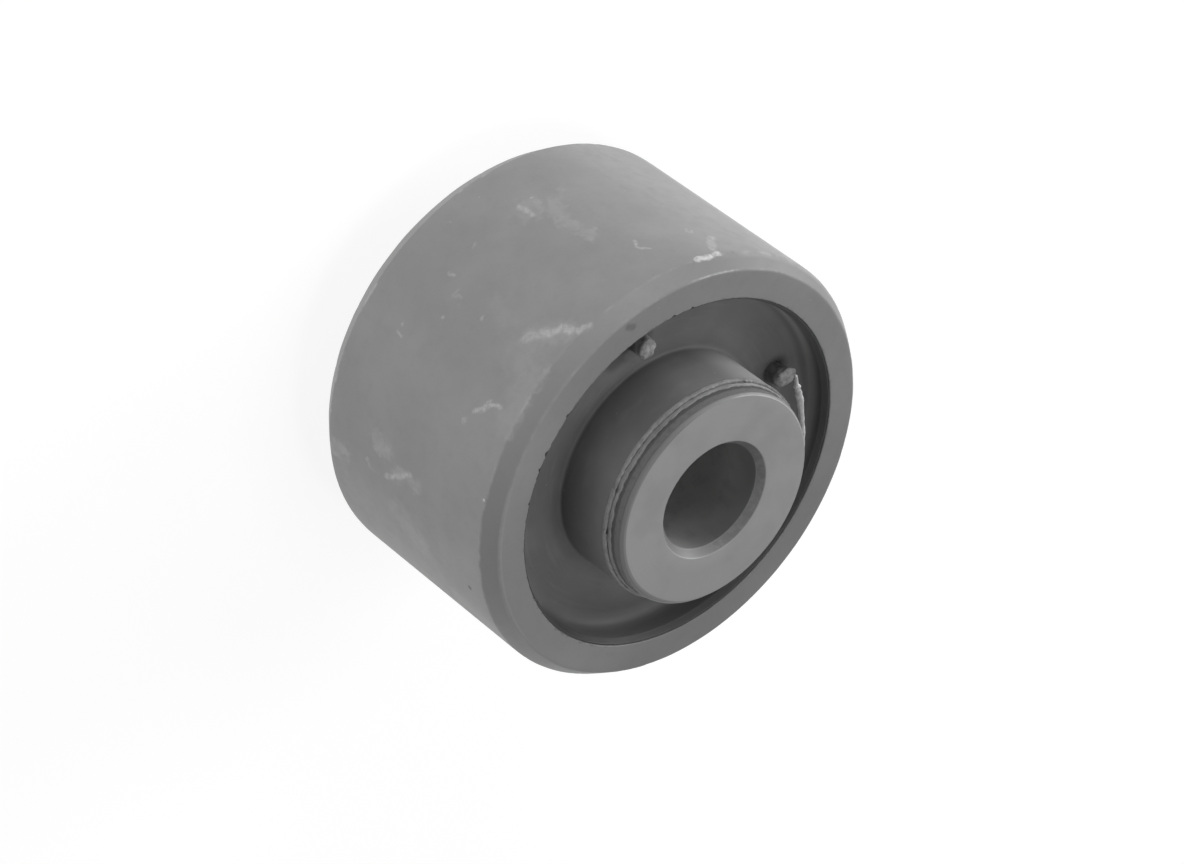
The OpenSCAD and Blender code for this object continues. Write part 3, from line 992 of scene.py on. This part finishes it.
class MOUNT_OT_inner_sleeve(bpy.types.Operator):
    """Inner sleeve with its countersunk bolt bore and broken edges"""
    bl_idname = "mount.inner_sleeve"
    bl_label = "Inner sleeve"

    def execute(self, context):
        sizes, colours = settings(context)
        high = sizes.inner_high
        corners = mirrored([
            (sizes.bore_r, high - sizes.mouth_z, 0.1 * MM, 0.5 * MM),
            (sizes.bore_r + sizes.mouth_r, high, 0.12 * MM, 0.8 * MM),
            (sizes.inner_r - sizes.inner_break, high, 0.25 * MM, 0.3 * MM),
            (sizes.inner_r, high - sizes.inner_break, 0.15 * MM, 1.5 * MM),
        ], high / 2)

        def turned(angle, r, z):
            nick = max(0.0, round_noise(angle, r / MM, 0.8, 6.0) - 0.4)
            wave = round_noise(angle, r / MM, 3.0, 7.0)
            end = abs(z - high / 2) - high / 2
            if end > -0.8 * MM and r > sizes.inner_r - 0.6 * MM:
                r -= (0.06 * nick + 0.012 * (1 + wave)) * MM
            if end > -1.2 * MM and r < sizes.bore_r + 1.1 * MM:
                in_mouth = max(0.0, min(1.0, (r - sizes.bore_r) / (0.3 * MM)))
                r += 0.04 * wave * in_mouth * MM
            return r, z

        mesh = turned_mesh("inner_sleeve_steel", rounded(corners), sizes.columns, turned)
        piece = add_piece(mesh, turned_steel(sizes, colours))
        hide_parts("inner_sleeve")
        return {"FINISHED"}


WHITE = (1.0, 1.0, 1.0)


class MOUNT_OT_stage(bpy.types.Operator):
    """Pale floor, soft studio light and the camera"""
    bl_idname = "mount.stage"
    bl_label = "Studio"

    # Name, azimuth and elevation in degrees, and power in watts
    LAMPS = [("front_low", -20.0, 14.0, 5.1), ("side_low", -85.0, 14.0, 9.8),
             ("side_high", -58.0, 50.0, 1.8), ("left_low", 65.0, 14.0, 3.2),
             ("overhead", 0.0, 89.0, 4.8)]
    LAMP_AWAY, LAMP_SIZE = 1.3, 0.62

    def execute(self, context):
        scene = context.scene
        work = bmesh.new()
        bmesh.ops.create_grid(work, x_segments=12, y_segments=12, size=3.0)
        mesh = bpy.data.meshes.new("studio_floor")
        work.to_mesh(mesh)
        work.free()
        floor = bpy.data.objects.new("studio_floor", mesh)
        scene.collection.objects.link(floor)
        # Just clear of the part's lower face, so that the two don't coincide
        floor.location.z = -0.2 * MM
        mesh.materials.append(self.paper(scene.mount_colours.studio))

        self.surroundings(scene)
        for lamp in self.LAMPS:
            self.lamp(*lamp)
        self.camera(scene)

        scene.view_settings.view_transform = "Standard"
        return {"FINISHED"}

    def paper(self, colour):
        """Pale paper: a soft bounce of light for the part, and nearly white where it is seen."""
        paper = Finish(bpy.data.materials.new("studio_paper"))
        plain = paper.node("ShaderNodeBsdfDiffuse", None, {0: rgba(colour)})
        white, bounce = (paper.node("ShaderNodeEmission", None, {0: rgba(WHITE), 1: strength})
                         for strength in (1.16, 1.3))
        lit = paper.node("ShaderNodeMixShader", None, {0: 0.85, 1: plain, 2: bounce})
        shown = paper.node("ShaderNodeMixShader", None, {0: 0.75, 1: plain, 2: white})
        both = paper.node("ShaderNodeMixShader", None, {0: paper.seen(), 1: lit, 2: shown})
        paper.node("ShaderNodeOutputMaterial", None, {0: both})
        return paper.owner

    def surroundings(self, scene):
        """Soft light from all round, and white where it is seen."""
        world = bpy.data.worlds.new("studio")
        scene.world = world
        sky = Finish(world)
        soft, white = (sky.node("ShaderNodeBackground", None, {0: rgba(WHITE), 1: strength})
                       for strength in (0.05, 1.0))
        both = sky.node("ShaderNodeMixShader", None, {0: sky.seen(), 1: soft, 2: white})
        sky.node("ShaderNodeOutputWorld", None, {0: both})

    def lamp(self, name, azimuth, elevation, power):
        """A square soft lamp that looks at the part, with its power in watts."""
        light = bpy.data.lights.new(name, "AREA")
        light.shape = "SQUARE"
        light.size = self.LAMP_SIZE
        light.energy = power
        lamp = bpy.data.objects.new(name, light)
        bpy.context.scene.collection.objects.link(lamp)
        turn, rise = math.radians(azimuth), math.radians(elevation)
        aim = Vector((0, 0, 0.5 * INNER_HIGH.z))
        flat = math.cos(rise)
        way = Vector((math.cos(turn) * flat, math.sin(turn) * flat, math.sin(rise)))
        lamp.location = aim + way * self.LAMP_AWAY
        lamp.rotation_euler = way.to_track_quat("Z", "Y").to_euler()
        lamp.visible_camera = False

    def camera(self, scene):
        """Long lens, above the part and rolled far over, so that the part seems to lie on its side."""
        view = bpy.data.cameras.new("camera")
        view.lens = 132.3
        view.sensor_width = 36.0
        view.clip_start = 0.01
        camera = bpy.data.objects.new("camera", view)
        scene.collection.objects.link(camera)
        place = Vector((0.3531, 0.2039, 0.3570))
        aim = Vector((-0.00313, 0.00084, 0.0235))
        level = (aim - place).to_track_quat("-Z", "Y").to_matrix().to_4x4()
        roll = Matrix.Rotation(math.radians(126.91), 4, "Z")
        camera.matrix_world = Matrix.Translation(place) @ level @ roll
        scene.camera = camera


STEPS = [MOUNT_OT_outer_sleeve, MOUNT_OT_rubber_ring, MOUNT_OT_collar_flash, MOUNT_OT_gate_stubs,
         MOUNT_OT_flash_strand, MOUNT_OT_inner_sleeve, MOUNT_OT_stage]


class MOUNT_PT_build(bpy.types.Panel):
    """Lists the pieces of the mount in the order in which they are built"""
    bl_idname = "MOUNT_PT_build"
    bl_label = "Shock absorber mount"
    bl_space_type = "VIEW_3D"
    bl_region_type = "UI"
    bl_category = "Mount"

    def draw(self, context):
        for step in STEPS:
            self.layout.operator(step.bl_idname)
        for group in settings(context):
            column = self.layout.column()
            for name in type(group).__annotations__:
                column.prop(group, name)


CLASSES = [MountSizes, MountColours, *STEPS, MOUNT_PT_build]


def register():
    for cls in CLASSES:
        bpy.utils.register_class(cls)
    bpy.types.Scene.mount_sizes = PointerProperty(type=MountSizes)
    bpy.types.Scene.mount_colours = PointerProperty(type=MountColours)


def unregister():
    del bpy.types.Scene.mount_colours
    del bpy.types.Scene.mount_sizes
    for cls in reversed(CLASSES):
        bpy.utils.unregister_class(cls)


def main():
    register()
    for step in STEPS:
        group, name = step.bl_idname.split(".")
        getattr(getattr(bpy.ops, group), name)()


if __name__ == "__main__":
    main()
